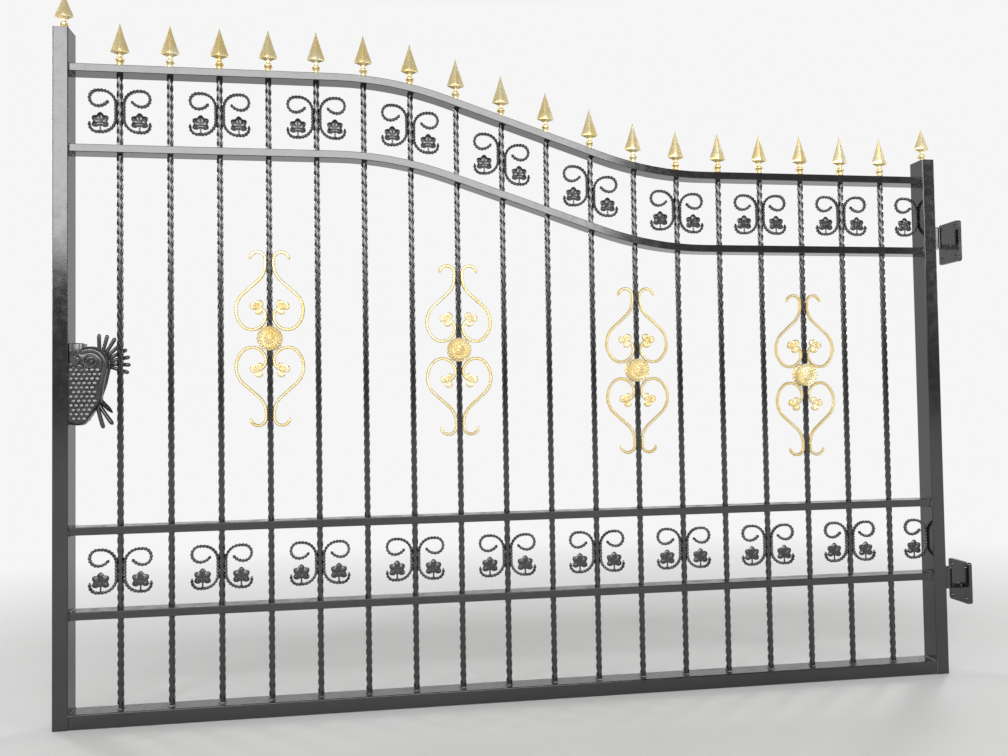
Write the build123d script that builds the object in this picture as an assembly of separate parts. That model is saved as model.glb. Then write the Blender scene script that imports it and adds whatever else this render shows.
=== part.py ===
from build123d import *
import math
import os

# A wrought iron driveway gate leaf, hung at its right stile on two pintle brackets.
# Millimetres, +Z up, +Y away from the front. The origin is the middle of the lower
# bracket's mounting face, which looks along +X; the leaf reaches out along -X.

# Leaf
leaf_width = 2435.0
frame_face = 38.0
frame_depth = 60.0
frame_wall = 3.0
corner_radius = 3.0
latch_stile_height = 1776.0
hinge_stile_height = 1496.0
cap_thickness = 5.0
overcut = 1.0

# Cross rails: heights are those of their centre lines above the leaf's foot
rail_height = 20.0
rail_depth = 50.0
rail_wall = 2.5
rail_corner = 1.5
low_rail_level = 280.0
middle_rail_level = 492.0
lower_wave_level = 1467.0
upper_wave_level = 1675.0
wave_drop = 240.0
wave_radius = 940.0
wave_slope = 18.5

# Pickets
picket_count = 18
end_bay = 117.5
picket_size = 12.7
hole_clearance = 0.2
picket_top_rise = 15.0

# Spear heads
spear_height = 118.0
spear_width = 48.0
spear_depth = 25.0
spear_lift = 4.0
spear_tip_size = 1.6
sleeve_radius = 9.5
sleeve_height = 14.0
collar_radius = 11.5
collar_height = 6.0
collar_groove = 1.2
spear_neck_radius = 6.5
spear_neck_height = 9.0
spear_flare_height = 9.0
stile_spear_height = 98.0

# Leaf scrolls in the two bands
scroll_bar = 7.0
scroll_depth = 10.0
scroll_width = 72.0
scroll_height = 116.0
scroll_shoulder = 36.0
scroll_ring_radius = 20.5
scroll_curl_radius = 30.0
scroll_curl_turn = 60.0
scroll_hook_radius = 19.0
touch_gap = 0.2
leaf_reach = 25.0
leaf_lobe = 8.5
leaf_stalk = 4.0
leaf_stalk_reach = 27.0
leaf_thickness = 4.0
leaf_offset = 42.0
leaf_lobe_turns = (90.0, 28.0, 152.0, -35.0, 215.0)

# Gilded scroll panels
first_panel_level = 979.0
second_panel_level = 946.0
third_panel_level = 886.0
last_panel_level = 868.0
panel_step = 4
gilt_bar = 7.5
gilt_depth = 9.0
gilt_hook_radius = 20.0
gilt_hook_level = 209.0
gilt_hook_drop = 12.0
gilt_neck_radius = 60.0
gilt_sweep_angle = 48.0
gilt_reach = 86.5
gilt_shoulder_radius = 60.0
gilt_side_radius = 60.0
gilt_foot_radius = 32.0
gilt_curl_radius = 24.0
gilt_curl_turn = 85.0
flower_reach = 20.5
flower_lobe = 8.5
flower_turns = (125.0, 15.0, 250.0)
rosette_radius = 33.0
rosette_thickness = 6.0
rosette_bead = 4.5
rosette_bead_count = 20
rosette_dish_radius = 20.0
rosette_dish_depth = 2.0
rosette_dome_radius = 15.5
rosette_dome_rise = 6.0

# Fish casting on the latch stile: places along X are from the stile's inner face
fish_depth = 44.0
fish_edge_radius = 12.0
fish_head_level = 919.0
fish_head_place = 51.0
fish_head_radius = 42.0
fish_head_depth = 48.0
fish_eye_place = 52.0
fish_eye_rise = 2.0
fish_eye_radius = 15.5
fish_eye_bar = 3.5
fish_pupil_radius = 7.0
fish_lip_place = 25.0
fish_lip_drop = 4.0
fish_lip_radius = 10.0
fish_shoulder_place = 38.0
fish_shoulder_radius = 45.0
fish_shoulder_drop = 50.0
fish_waist_place = 42.0
fish_waist_radius = 34.0
fish_waist_drop = 92.0
fish_root_place = 20.0
fish_root_radius = 24.0
fish_root_drop = 137.0
fish_block_width = 33.0
fish_block_height = 49.0
back_rib_width = 13.0
back_rib_rise = 2.0
back_rib_start_turn = 130.0
back_rib_brow_turn = 142.0
back_rib_length = 78.0
fin_thickness = 8.0
fin_gap = 2.7
crest_place = 63.0
crest_drop = 2.0
crest_ray_count = 8
crest_ray_width = 10.5
crest_first_turn = 91.0
crest_spread = 110.0
crest_reach = 77.0
tail_ray_width = 11.0
tail_ray_depth = 12.0
tail_root_place = 62.0
tail_root_drop = 96.0
tail_upper_place = 105.5
tail_upper_drop = 141.0
tail_middle_place = 102.0
tail_middle_drop = 162.0
tail_lower_place = 79.0
tail_lower_drop = 171.0

# Hinges: levels above the leaf's foot
hinge_low_level = 275.0
hinge_top_margin = 223.0
hinge_offset = 20.0
knuckle_radius = 15.0
knuckle_length = 46.0
knuckle_lug_depth = 16.0
pin_radius = 8.0
pin_clearance = 0.05
pin_rise = 5.0
seat_gap = 0.3
arm_thickness = 12.0
arm_width = 18.0
arm_reach = 40.0
plate_thickness = 10.0
plate_width = 90.0
plate_height = 120.0
plate_hole_radius = 6.5
plate_hole_spacing_y = 60.0
plate_hole_spacing_z = 90.0
plate_corner = 8.0

# Places worked out from the sizes above
axis_x = -plate_thickness - arm_reach
hinge_face = axis_x - hinge_offset
latch_face = hinge_face - leaf_width
arm_top = -arm_thickness / 2.0
knuckle_low = arm_top + seat_gap
foot = knuckle_low + knuckle_length / 2.0 - hinge_low_level
hinge_pitch = hinge_stile_height - hinge_top_margin - hinge_low_level
inner_left = latch_face + frame_face
inner_right = hinge_face - frame_face
clear_width = inner_right - inner_left
middle_x = (inner_left + inner_right) / 2.0
picket_spacing = (clear_width - 2.0 * end_bay) / (picket_count - 1)
slope_angle = math.radians(wave_slope)
bend_drop = wave_radius * (1.0 - math.cos(slope_angle))
slope_length = (wave_drop - 2.0 * bend_drop) / math.sin(slope_angle)
slope_run = slope_length * math.cos(slope_angle) / 2.0
wave_run = slope_run + wave_radius * math.sin(slope_angle)


def picket_x(number):
    return inner_left + end_bay + (number - 1) * picket_spacing


def save(name, shape):
    export_step(shape, os.path.join("parts", name + ".step"))


def walk(start, heading, moves):
    """Lines and tangent arcs from a start: each move is (length,) or (radius, turn), left is positive."""
    x, z = start
    steps = []
    for move in moves:
        ahead = math.radians(heading)
        if len(move) == 1:
            end = (x + move[0] * math.cos(ahead), z + move[0] * math.sin(ahead))
            steps.append(("line", (x, z), heading, move[0]))
        else:
            radius, turn = move
            side = 1.0 if turn > 0 else -1.0
            normal = math.radians(heading + 90.0 * side)
            centre = (x + radius * math.cos(normal), z + radius * math.sin(normal))
            swept = math.radians(heading - 90.0 * side + turn)
            end = (centre[0] + radius * math.cos(swept), centre[1] + radius * math.sin(swept))
            steps.append(("arc", centre, heading, radius, turn))
            heading += turn
        x, z = end
    return steps, (x, z), heading


def polar_point(centre, radius, angle):
    turned = math.radians(angle)
    return (centre[0] + radius * math.cos(turned), centre[1] + radius * math.sin(turned))


def side_edges(steps, offset):
    """The edges of a walk, moved to its left by the offset."""
    edges = []
    for step in steps:
        if step[0] == "line":
            _, start, heading, length = step
            first = polar_point(start, offset, heading + 90.0)
            edges.append(Line(first, polar_point(first, length, heading)))
        else:
            _, centre, heading, radius, turn = step
            side = 1.0 if turn > 0 else -1.0
            reach = radius - side * offset
            begin = heading - 90.0 * side
            points = [polar_point(centre, reach, begin + turn * part) for part in (0.0, 0.5, 1.0)]
            edges.append(ThreePointArc(*points))
    return edges


def bar_face(start, heading, moves, width):
    """A flat bar of constant width along a walk, drawn in the gate's own plane."""
    steps, _, _ = walk(start, heading, moves)
    left = side_edges(steps, width / 2.0)
    right = side_edges(steps, -width / 2.0)
    caps = [Line(left[-1] @ 1, right[-1] @ 1), Line(left[0] @ 0, right[0] @ 0)]
    return make_face(left + right + caps)


def upright(face, depth, middle=0.0):
    """Stands a drawing of X and Z up in the gate's plane and gives it depth along Y."""
    solid = extrude(face, amount=depth / 2.0, both=True)
    return Pos(0, middle, 0) * Rot(90, 0, 0) * solid


def block(x0, x1, z0, z1, depth, middle=0.0):
    return Pos((x0 + x1) / 2.0, middle, (z0 + z1) / 2.0) * Box(x1 - x0, depth, z1 - z0)


def wave_moves(extra=0.0):
    """Level, bend down, slope, bend back and level again, as long as the leaf's clear width."""
    level = clear_width / 2.0 - wave_run + extra
    return [(level,), (wave_radius, -wave_slope), (slope_length,), (wave_radius, wave_slope), (level,)]


def wave_level(start_level, x):
    """Height of a wave rail's centre line at a place along the leaf."""
    reach = abs(x - middle_x)
    if reach >= wave_run:
        fall = wave_drop / 2.0
    elif reach <= slope_run:
        fall = reach * math.tan(slope_angle)
    else:
        rest = wave_run - reach
        fall = wave_drop / 2.0 - wave_radius + math.sqrt(wave_radius ** 2 - rest ** 2)
    return foot + start_level - wave_drop / 2.0 - math.copysign(fall, x - middle_x)


def wave_lean(x):
    """Slope of a wave rail at a place along the leaf, in radians."""
    reach = abs(x - middle_x)
    if reach >= wave_run:
        return 0.0
    return slope_angle if reach <= slope_run else math.asin((wave_run - reach) / wave_radius)


def picket_holes(z0, z1):
    size = picket_size + 2.0 * hole_clearance
    return [block(picket_x(n) - size / 2.0, picket_x(n) + size / 2.0, z0, z1, size)
            for n in range(1, picket_count + 1)]


def stile(x0, height):
    body = block(x0, x0 + frame_face, foot, foot + height, frame_depth)
    body = fillet(body.edges().filter_by(Axis.Z), corner_radius)
    bore = block(x0 + frame_wall, x0 + frame_face - frame_wall, foot - overcut, foot + height - cap_thickness,
                 frame_depth - 2.0 * frame_wall)
    return body - bore


def bottom_rail():
    body = block(inner_left, inner_right, foot, foot + frame_face, frame_depth)
    body = fillet(body.edges().filter_by(Axis.X), corner_radius)
    bore = block(inner_left - overcut, inner_right + overcut, foot + frame_wall,
                 foot + frame_face - frame_wall, frame_depth - 2.0 * frame_wall)
    return body - bore


def straight_rail(level):
    z = foot + level
    body = block(inner_left, inner_right, z - rail_height / 2.0, z + rail_height / 2.0, rail_depth)
    body = fillet(body.edges().filter_by(Axis.X), rail_corner)
    bore = block(inner_left - overcut, inner_right + overcut, z - rail_height / 2.0 + rail_wall,
                 z + rail_height / 2.0 - rail_wall, rail_depth - 2.0 * rail_wall)
    return body - bore - picket_holes(z - rail_height, z + rail_height)


def wave_rail(level):
    start = (inner_left, foot + level)
    body = upright(bar_face(start, 0.0, wave_moves(), rail_height), rail_depth)
    body = fillet(body.edges().filter_by(Axis.Y, reverse=True).filter_by(Axis.Z, reverse=True), rail_corner)
    bore_start = (inner_left - overcut, foot + level)
    bore_face = bar_face(bore_start, 0.0, wave_moves(overcut), rail_height - 2.0 * rail_wall)
    bore = upright(bore_face, rail_depth - 2.0 * rail_wall)
    return body - bore - picket_holes(foot + level - wave_drop - rail_height, foot + level + rail_height)


def rail_top(number):
    half_section = rail_height / 2.0 / math.cos(wave_lean(picket_x(number)))
    return wave_level(upper_wave_level, picket_x(number)) + half_section


def picket(number):
    x = picket_x(number)
    return block(x - picket_size / 2.0, x + picket_size / 2.0, foot + frame_face,
                 rail_top(number) + picket_top_rise, picket_size)


def rhomb(width, depth):
    return Polygon((-width / 2.0, 0), (0, -depth / 2.0), (width / 2.0, 0), (0, depth / 2.0))


def spear(height):
    """A four-sided point on a turned neck, collar and sleeve, standing on Z = 0."""
    collar_z = sleeve_height
    neck_z = collar_z + collar_height
    flare_z = neck_z + spear_neck_height
    wide_z = flare_z + spear_flare_height
    outline = Polyline((0, 0), (sleeve_radius, 0), (sleeve_radius, sleeve_height - collar_groove),
                       (spear_neck_radius, collar_z), (collar_radius, collar_z), (collar_radius, neck_z),
                       (spear_neck_radius, neck_z), (spear_neck_radius, flare_z + collar_groove),
                       (0, flare_z + collar_groove), close=True)
    turned = revolve(Plane.XZ * make_face(outline), Axis.Z)
    neck = Pos(0, 0, flare_z) * rhomb(2.0 * spear_neck_radius, 2.0 * spear_neck_radius)
    widest = Pos(0, 0, wide_z) * rhomb(spear_width, spear_depth)
    tip = Pos(0, 0, height) * rhomb(spear_tip_size, spear_tip_size)
    return turned + loft([neck, widest]) + loft([widest, tip])


def picket_spears():
    socket_size = picket_size + 2.0 * hole_clearance
    socket_depth = picket_top_rise - spear_lift
    socket = Pos(0, 0, socket_depth / 2.0) * Box(socket_size, socket_size, socket_depth)
    head = spear(spear_height - spear_lift) - socket
    return Compound(children=[Pos(picket_x(n), 0, rail_top(n) + spear_lift) * head
                              for n in range(1, picket_count + 1)])


def lobes(reach, lobe_width, turns):
    """Oval lobes round the origin, one for each turn."""
    lobe = Pos(reach / 2.0, 0) * Ellipse(reach / 2.0, lobe_width)
    return Sketch() + [Rot(0, 0, turn) * lobe for turn in turns]


def stalked_leaf():
    """A flat five-lobed leaf round the origin, with its stalk."""
    stalk = Rot(0, 0, -90) * Pos(leaf_stalk_reach / 2.0, 0) * Rectangle(leaf_stalk_reach, leaf_stalk)
    return lobes(leaf_reach, leaf_lobe, leaf_lobe_turns) + stalk


def band_scroll():
    """A C-scroll with its spine at X = 0, open to +X, centred on Z = 0, with the leaf it holds."""
    half = scroll_bar / 2.0
    width = scroll_width - scroll_bar
    height = scroll_height - scroll_bar
    hook_foot = width - scroll_hook_radius - scroll_shoulder
    ring_run = width - scroll_shoulder - scroll_ring_radius
    spine = height - 2.0 * scroll_shoulder
    start = (half + width, -height / 2.0 + scroll_hook_radius + scroll_bar)
    moves = [(scroll_bar,), (scroll_hook_radius, -90.0), (hook_foot,), (scroll_shoulder, -90.0), (spine,),
             (scroll_shoulder, -90.0), (ring_run,), (scroll_ring_radius, -180.0),
             (scroll_curl_radius, -scroll_curl_turn)]
    bar = upright(bar_face(start, -90.0, moves, scroll_bar), scroll_depth)
    leaf_level = leaf_stalk_reach - scroll_height / 2.0 + half
    return bar + upright(Pos(leaf_offset, leaf_level) * stalked_leaf(), leaf_thickness)


def scroll_band(lower_level, upper_level, waved):
    """One scroll in each bay, back to back about the odd pickets."""
    scroll = band_scroll()
    gap = picket_size / 2.0 + touch_gap
    placed = []
    for bay in range(picket_count + 1):
        opens_right = bay % 2 == 1
        if bay == picket_count:
            spine_x = inner_right - touch_gap
            opens_right = False
        elif opens_right:
            spine_x = picket_x(bay) + gap
        else:
            spine_x = picket_x(bay + 1) - gap
        centre_x = spine_x + (scroll_width / 2.0 if opens_right else -scroll_width / 2.0)
        if waved:
            level = (wave_level(lower_level, centre_x) + wave_level(upper_level, centre_x)) / 2.0
        else:
            level = foot + (lower_level + upper_level) / 2.0
        piece = scroll if opens_right else mirror(scroll, about=Plane.YZ)
        placed.append(Pos(spine_x, 0, level) * piece)
    return Compound(children=placed)


def gilt_scroll():
    """One quarter of a panel: an S-scroll that starts beside the picket and curls in to its flower."""
    seat = picket_size / 2.0 + touch_gap + gilt_bar / 2.0
    sweep = math.radians(gilt_sweep_angle)
    bends = (gilt_neck_radius + gilt_shoulder_radius) * (1.0 - math.cos(sweep))
    sweep_length = (gilt_reach - seat - bends) / math.sin(sweep)
    start = (seat + 2.0 * gilt_hook_radius, gilt_hook_level)
    half_corner = -45.0
    moves = [(gilt_hook_radius, 180.0), (gilt_hook_drop,), (gilt_neck_radius, gilt_sweep_angle),
             (sweep_length,), (gilt_shoulder_radius, -gilt_sweep_angle), (gilt_side_radius, half_corner),
             (gilt_foot_radius, half_corner)]
    _, foot_point, _ = walk(start, 90.0, moves)
    moves += [(foot_point[0] - seat, 2.0 * half_corner), (gilt_curl_radius, -gilt_curl_turn)]
    _, end, _ = walk(start, 90.0, moves)
    bar = upright(bar_face(start, 90.0, moves, gilt_bar), gilt_depth)
    return bar + upright(Pos(*end) * lobes(flower_reach, flower_lobe, flower_turns), gilt_depth)


def gilt_panel(picket_number, level):
    quarter = gilt_scroll()
    half = [quarter, mirror(quarter, about=Plane.YZ)]
    whole = half + [mirror(piece, about=Plane.XY) for piece in half]
    return Pos(picket_x(picket_number), 0, foot + level) * Compound(children=whole)


def rosette(picket_number, level):
    """A beaded dish with a domed middle, on the front and on the back of its picket."""
    rim = rosette_radius - rosette_bead
    outline = Circle(rim) + PolarLocations(rim, rosette_bead_count) * Circle(rosette_bead)
    dish_floor = rosette_thickness - rosette_dish_depth
    dish = Pos(0, 0, dish_floor + rosette_thickness / 2.0) * Cylinder(rosette_dish_radius, rosette_thickness)
    ball_radius = (rosette_dome_radius ** 2 + rosette_dome_rise ** 2) / (2.0 * rosette_dome_rise)
    ball = Pos(0, 0, dish_floor + rosette_dome_rise - ball_radius) * Sphere(ball_radius)
    core = Pos(0, 0, dish_floor / 2.0 + ball_radius) * Cylinder(rosette_dome_radius, 2.0 * ball_radius)
    disc = extrude(outline, amount=rosette_thickness) - dish + ball.intersect(core)
    away = picket_size / 2.0
    front = Pos(0, -away, 0) * Rot(90, 0, 0) * disc
    back = Pos(0, away, 0) * Rot(-90, 0, 0) * disc
    return Pos(picket_x(picket_number), 0, foot + level) * Compound(children=[front, back])


def fish_outline():
    """The fish's side view without its fins: smooth skins round four circles."""
    head = (fish_head_place, 0.0, fish_head_radius)
    shoulder = (fish_shoulder_place, -fish_shoulder_drop, fish_shoulder_radius)
    waist = (fish_waist_place, -fish_waist_drop, fish_waist_radius)
    root = (fish_root_place, -fish_root_drop, fish_root_radius)
    outline = Sketch()
    for pair in ((head, shoulder), (shoulder, waist), (waist, root), (shoulder, root)):
        edges = [edge for x, z, radius in pair for edge in (Pos(x, z) * Circle(radius)).edges()]
        outline += make_hull(edges)
    return outline


def fin_ray(root, tip, width):
    """A flat ray with round ends that reaches from a root point to its tip."""
    run, rise = tip[0] - root[0], tip[1] - root[1]
    length = math.hypot(run, rise)
    turn = math.degrees(math.atan2(rise, run))
    return Pos(*root) * Rot(0, 0, turn) * Pos(length / 2.0, 0) * SlotOverall(length, width)


def crest_fan():
    """The crest's rays, fanned out from one root behind the head."""
    root = (crest_place, -crest_drop)
    fan = Sketch()
    for number in range(crest_ray_count):
        turn = crest_first_turn - number * crest_spread / (crest_ray_count - 1)
        fan += fin_ray(root, polar_point(root, crest_reach, turn), crest_ray_width)
    return fan


def tail_rays():
    """Three rays that stop short of the first picket."""
    tips = ((tail_upper_place, tail_upper_drop), (tail_middle_place, tail_middle_drop),
            (tail_lower_place, tail_lower_drop))
    root = (tail_root_place, -tail_root_drop)
    return Sketch() + [fin_ray(root, (x, -drop), tail_ray_width) for x, drop in tips]


def back_rib():
    """A flat strip that follows the brow round and runs down the fish's back."""
    inset = fish_head_radius - back_rib_width / 2.0
    start = polar_point((fish_head_place, 0.0), inset, back_rib_start_turn)
    moves = [(inset, -back_rib_brow_turn), (back_rib_length,)]
    return bar_face(start, back_rib_start_turn - 90.0, moves, back_rib_width)


def soft_disc(radius, height, edge_radius):
    disc = Cylinder(radius, height)
    return fillet(disc.edges().filter_by(GeomType.CIRCLE), edge_radius)


def fish_eye():
    """A round pupil in a round rim, raised on both sides of the head."""
    height = fish_head_depth + 2.0 * fish_eye_bar
    rim = soft_disc(fish_eye_radius + fish_eye_bar / 2.0, height, fish_eye_bar / 2.0)
    pupil = soft_disc(fish_pupil_radius, height, fish_pupil_radius / 2.0)
    return rim - Cylinder(fish_eye_radius - fish_eye_bar / 2.0, height) + pupil


def fish_handle():
    """A leaping fish, welded to the stile; its crest passes behind the first picket."""
    fin_front = picket_size / 2.0 + fin_gap
    middle = fin_front + fin_thickness - fish_depth / 2.0
    body = upright(fish_outline(), fish_depth, middle)
    body = fillet(body.edges().filter_by(Axis.Y, reverse=True), fish_edge_radius)
    rib_depth = fish_depth + 2.0 * back_rib_rise
    rib = upright(back_rib(), rib_depth, middle)
    rib_sides = rib.edges().filter_by(Axis.Y, reverse=True).filter_by(lambda edge: edge.length > rib_depth / 2.0)
    rib = fillet(rib_sides, back_rib_width / 3.0)
    facing = Pos(0, middle, 0) * Rot(90, 0, 0)
    head = facing * Pos(fish_head_place, 0) * soft_disc(fish_head_radius, fish_head_depth, fish_edge_radius)
    lips = facing * Pos(fish_lip_place, -fish_lip_drop) * soft_disc(
        fish_lip_radius, fish_head_depth + 2.0 * back_rib_rise, fish_lip_radius / 2.0)
    eye = facing * Pos(fish_eye_place, fish_eye_rise) * fish_eye()
    crest = upright(crest_fan(), fin_thickness, fin_front + fin_thickness / 2.0)
    tail = upright(tail_rays(), tail_ray_depth, middle)
    plate = block(0, fish_block_width, 0, fish_block_height, fish_depth - 2.0 * back_rib_rise, middle)
    fish = body + rib + head + crest + tail + plate + lips + eye
    stile_side = Pos(-fish_head_radius, 0, -fish_root_drop / 2.0) * Box(
        2.0 * fish_head_radius, 2.0 * fish_head_radius, 4.0 * fish_root_drop)
    return Pos(inner_left, 0, foot + fish_head_level) * (fish - stile_side)


def hinge_bracket(base):
    """Wall plate, arm and upright pin in one welded piece."""
    plate = block(-plate_thickness, 0, -plate_height / 2.0, plate_height / 2.0, plate_width)
    plate = fillet(plate.edges().filter_by(Axis.X), plate_corner)
    arm = block(axis_x, -plate_thickness, arm_top - arm_thickness, arm_top, arm_width)
    arm += Pos(axis_x, 0, arm_top - arm_thickness / 2.0) * Cylinder(knuckle_radius, arm_thickness)
    pin_length = knuckle_length + seat_gap + pin_rise
    pin = Pos(axis_x, 0, arm_top + pin_length / 2.0) * Cylinder(pin_radius, pin_length)
    pin = chamfer(pin.edges().group_by(Axis.Z)[-1], pin_radius / 5.0)
    bracket = plate + arm + pin
    for y in (-0.5, 0.5):
        for z in (-0.5, 0.5):
            hole = Rot(0, 90, 0) * Cylinder(plate_hole_radius, 4.0 * plate_thickness)
            bracket -= Pos(0, y * plate_hole_spacing_y, z * plate_hole_spacing_z) * hole
    return Pos(0, 0, base) * bracket


def hinge_knuckle(base):
    """A barrel on the pin, welded to the stile by its lug."""
    z0 = base + knuckle_low
    barrel = Pos(axis_x, 0, z0 + knuckle_length / 2.0) * Cylinder(knuckle_radius, knuckle_length)
    lug = block(hinge_face, axis_x, z0 + seat_gap, z0 + knuckle_length - seat_gap, knuckle_lug_depth)
    bore = Cylinder(pin_radius + pin_clearance, 2.0 * knuckle_length)
    return barrel + lug - Pos(axis_x, 0, z0 + knuckle_length / 2.0) * bore


os.makedirs("parts", exist_ok=True)

save("latch_stile", stile(latch_face, latch_stile_height))
save("hinge_stile", stile(inner_right, hinge_stile_height))
save("bottom_rail", bottom_rail())
save("low_rail", straight_rail(low_rail_level))
save("middle_rail", straight_rail(middle_rail_level))
save("lower_wave_rail", wave_rail(lower_wave_level))
save("upper_wave_rail", wave_rail(upper_wave_level))

for number in range(1, picket_count + 1):
    save("picket_%02d" % number, picket(number))
save("picket_spears", picket_spears())
stile_ends = (("latch", latch_face, latch_stile_height), ("hinge", inner_right, hinge_stile_height))
for name, face, height in stile_ends:
    place = Pos(face + frame_face / 2.0, 0, foot + height)
    save(name + "_stile_spear", place * spear(stile_spear_height))

save("upper_scrolls", scroll_band(lower_wave_level, upper_wave_level, True))
save("lower_scrolls", scroll_band(low_rail_level, middle_rail_level, False))

panel_levels = (first_panel_level, second_panel_level, third_panel_level, last_panel_level)
for order, level in enumerate(panel_levels, 1):
    save("gilt_panel_%d" % order, gilt_panel(order * panel_step, level))
    save("rosette_%d" % order, rosette(order * panel_step, level))

save("fish_handle", fish_handle())

for name, base in (("lower", 0.0), ("upper", hinge_pitch)):
    save("hinge_bracket_" + name, hinge_bracket(base))
    save("hinge_knuckle_" + name, hinge_knuckle(base))
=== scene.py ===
import math
import random

import bmesh
import bpy
from mathutils import Matrix, Vector


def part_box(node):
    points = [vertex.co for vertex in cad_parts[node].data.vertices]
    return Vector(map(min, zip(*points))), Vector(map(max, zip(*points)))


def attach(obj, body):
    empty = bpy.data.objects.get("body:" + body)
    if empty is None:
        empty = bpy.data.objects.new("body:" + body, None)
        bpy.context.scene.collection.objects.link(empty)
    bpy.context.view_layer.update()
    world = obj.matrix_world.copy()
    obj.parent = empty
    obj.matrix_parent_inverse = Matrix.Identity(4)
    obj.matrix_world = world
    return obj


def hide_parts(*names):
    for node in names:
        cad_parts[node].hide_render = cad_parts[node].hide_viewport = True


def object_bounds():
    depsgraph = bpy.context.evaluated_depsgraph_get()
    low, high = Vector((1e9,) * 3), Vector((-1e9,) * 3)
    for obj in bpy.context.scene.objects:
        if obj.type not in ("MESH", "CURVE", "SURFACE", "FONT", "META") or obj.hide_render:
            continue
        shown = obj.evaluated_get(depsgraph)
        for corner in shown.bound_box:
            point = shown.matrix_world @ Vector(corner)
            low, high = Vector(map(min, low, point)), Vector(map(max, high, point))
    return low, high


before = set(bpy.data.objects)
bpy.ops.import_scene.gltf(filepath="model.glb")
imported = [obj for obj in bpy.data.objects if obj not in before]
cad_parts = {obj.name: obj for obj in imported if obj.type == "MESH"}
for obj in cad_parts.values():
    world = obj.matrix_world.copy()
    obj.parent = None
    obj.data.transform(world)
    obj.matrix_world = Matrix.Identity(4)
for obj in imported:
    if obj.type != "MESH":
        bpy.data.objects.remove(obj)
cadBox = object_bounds()
print("frame loaded:", len(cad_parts), "CAD nodes")


# Shader effects shared by the finishes; each pair is where an effect starts and where it is full

effectLook = {
    "dustFacing": (0.35, 0.95),
    "dustPatches": (0.38, 0.66),
    "dustDetail": 5.0,
    "wearTurn": (0.99, 0.86),
    "wearPatches": (0.50, 0.62),
    "wearDetail": 6.0,
    "wearSamples": 4,
    "drift": (0.3, 0.7),
    "driftDetail": 4.0,
    "smears": (0.42, 0.7),
    "smearScale": 55.0,
    "smearDetail": 6.0,
    "peelDetail": 2.0,
    "pits": (0.55, 0.75),
    "pitScale": 900.0,
    "pitDetail": 3.0,
}


def newGroup(name, inputs, outputs):
    group = bpy.data.node_groups.new(name, "ShaderNodeTree")
    for socketName, value in inputs.items():
        socket = group.interface.new_socket(name=socketName, in_out="INPUT", socket_type="NodeSocketFloat")
        socket.default_value = value
    for socketName in outputs:
        group.interface.new_socket(name=socketName, in_out="OUTPUT", socket_type="NodeSocketFloat")
    return group, group.nodes.new("NodeGroupInput"), group.nodes.new("NodeGroupOutput")


def addNode(tree, kind, settings=None, values=None):
    # an input is linked where its value is a socket, and set where it is a number or a colour
    node = tree.nodes.new(kind)
    for key, value in (settings or {}).items():
        setattr(node, key, value)
    for key, value in (values or {}).items():
        if isinstance(value, bpy.types.NodeSocket):
            tree.links.new(value, node.inputs[key])
        else:
            node.inputs[key].default_value = value
    return node


def noiseField(tree, scale, detail):
    place = addNode(tree, "ShaderNodeTexCoord").outputs["Object"]
    noise = addNode(tree, "ShaderNodeTexNoise", values={"Vector": place, "Scale": scale, "Detail": detail})
    return noise.outputs["Fac"]


def rescale(tree, value, low, high, toLow=0.0, toHigh=1.0):
    settings = {"Value": value, "From Min": low, "From Max": high, "To Min": toLow, "To Max": toHigh}
    return addNode(tree, "ShaderNodeMapRange", values=settings).outputs["Result"]


def combine(tree, operation, first, second):
    return addNode(tree, "ShaderNodeMath", {"operation": operation}, {0: first, 1: second}).outputs["Value"]


def multiply(tree, product, *factors):
    for factor in factors:
        product = combine(tree, "MULTIPLY", product, factor)
    return product


def mixColours(tree, mask, first, second):
    node = addNode(tree, "ShaderNodeMix", {"data_type": "RGBA"}, {"Factor": mask})
    for socket, value in zip((node.inputs[6], node.inputs[7]), (first, second)):
        if isinstance(value, tuple):
            socket.default_value = value + (1.0,)
        else:
            tree.links.new(value, socket)
    return node.outputs[2]


def buildLedgeDust(look):
    # dust lies where a surface looks up, in patches
    group, given, out = newGroup("ledgeDust", {"Scale": 40.0, "Amount": 0.5}, ("Mask",))
    normal = addNode(group, "ShaderNodeNewGeometry").outputs["Normal"]
    up = addNode(group, "ShaderNodeSeparateXYZ", values={"Vector": normal}).outputs["Z"]
    noise = noiseField(group, given.outputs["Scale"], look["dustDetail"])
    facing = rescale(group, up, *look["dustFacing"])
    patches = rescale(group, noise, *look["dustPatches"])
    group.links.new(multiply(group, facing, patches, given.outputs["Amount"]), out.inputs["Mask"])
    return group


def buildEdgeWear(look):
    # the bevel node bends the normal only beside an edge, so its turn marks the edge
    group, given, out = newGroup("edgeWear", {"Width": 0.0015, "Scale": 60.0, "Amount": 0.6}, ("Mask",))
    rounded = addNode(group, "ShaderNodeBevel", {"samples": look["wearSamples"]},
                      {"Radius": given.outputs["Width"]})
    normal = addNode(group, "ShaderNodeNewGeometry").outputs["Normal"]
    turn = addNode(group, "ShaderNodeVectorMath", {"operation": "DOT_PRODUCT"},
                   {0: rounded.outputs["Normal"], 1: normal}).outputs["Value"]
    noise = noiseField(group, given.outputs["Scale"], look["wearDetail"])
    edge = rescale(group, turn, *look["wearTurn"])
    patches = rescale(group, noise, *look["wearPatches"])
    group.links.new(multiply(group, edge, patches, given.outputs["Amount"]), out.inputs["Mask"])
    return group


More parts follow.
